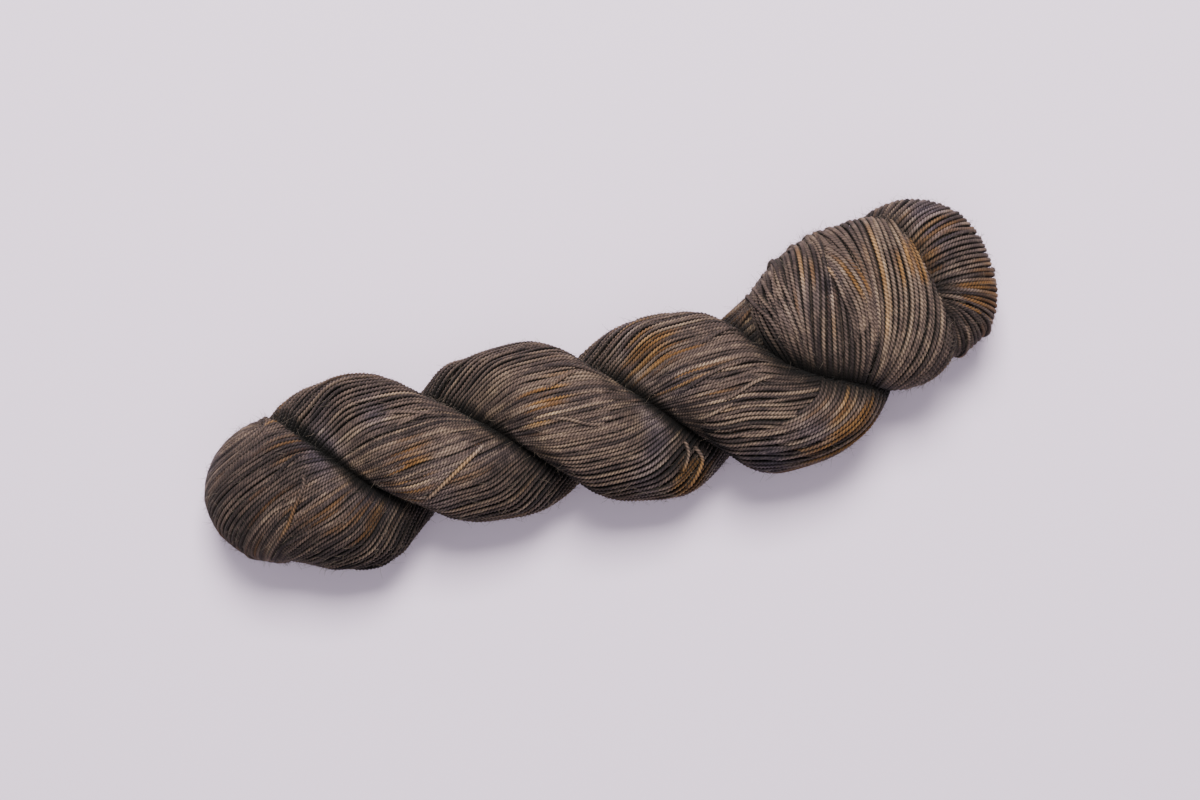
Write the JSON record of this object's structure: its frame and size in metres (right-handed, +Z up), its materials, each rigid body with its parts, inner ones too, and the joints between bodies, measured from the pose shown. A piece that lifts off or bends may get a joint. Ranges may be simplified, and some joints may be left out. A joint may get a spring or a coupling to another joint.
{
  "type": "twisted hank of yarn",
  "caption": "Twisted hank of plied hand-dyed yarn, lying on its side, with one end loop pulled through the other.",
  "frame": {"origin": "on the surface that the hank rests on, below the middle of its outline", "axes": "+X along the hank from its fold to its looped end, +Z up from the surface"},
  "size_m": [0.2908, 0.0833, 0.0515],
  "materials": {
    "yarn": "matte, plied wool with a soft halo, tonal charcoal and brown dye with amber patches"
  },
  "bodies": {
    "root": {"yarn_hank": "yarn"}
  },
  "joints": []
}
